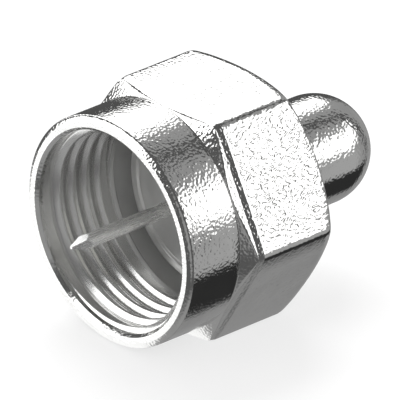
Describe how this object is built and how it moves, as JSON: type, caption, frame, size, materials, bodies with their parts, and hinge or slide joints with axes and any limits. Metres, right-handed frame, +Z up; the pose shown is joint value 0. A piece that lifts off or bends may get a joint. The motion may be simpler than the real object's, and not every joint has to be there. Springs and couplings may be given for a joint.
{
  "type": "coaxial terminator",
  "caption": "F-type coaxial terminator: a hexagonal coupling nut turns on a flanged post behind a pointed centre pin, with a small domed cap and a resistor sealed inside.",
  "frame": {"origin": "on the plug's axis, in the plane of the nut's mating rim", "axes": "+Y along the axis from the mating rim towards the domed cap, +Z up and out of the hexagon's top flat, with the terminator lying on the opposite flat"},
  "size_m": [0.0126, 0.0172, 0.011],
  "materials": {
    "nut_nickel": "bright nickel plate over turned hexagonal brass bar, lightly tumbled",
    "post_nickel": "nickel plate over turned brass, satin",
    "cap_nickel": "bright nickel plate over drawn brass",
    "bead_plastic": "natural polyethylene",
    "tinned_wire": "tinned wire, drawn",
    "ceramic": "unglazed ceramic rod with a resistive film",
    "end_cap_steel": "pressed and tinned steel",
    "coating": "baked lacquer",
    "solder": "bright tin solder"
  },
  "bodies": {
    "core": {"flanged_post": "post_nickel", "domed_cap": "cap_nickel", "insulator": "bead_plastic", "contact_pin": "tinned_wire", "resistor_rod": "ceramic", "front_end_cap": "end_cap_steel", "rear_end_cap": "end_cap_steel", "resistor_coating": "coating", "rear_wire": "tinned_wire", "solder_joint": "solder"},
    "nut": {"coupling_nut": "nut_nickel"}
  },
  "joints": [
    {"name": "nut_turn", "type": "hinge", "parent": "core", "child": "nut", "pos_m": [0, 0.0075, 0], "axis": [0, 1, 0], "continuous": true}
  ]
}
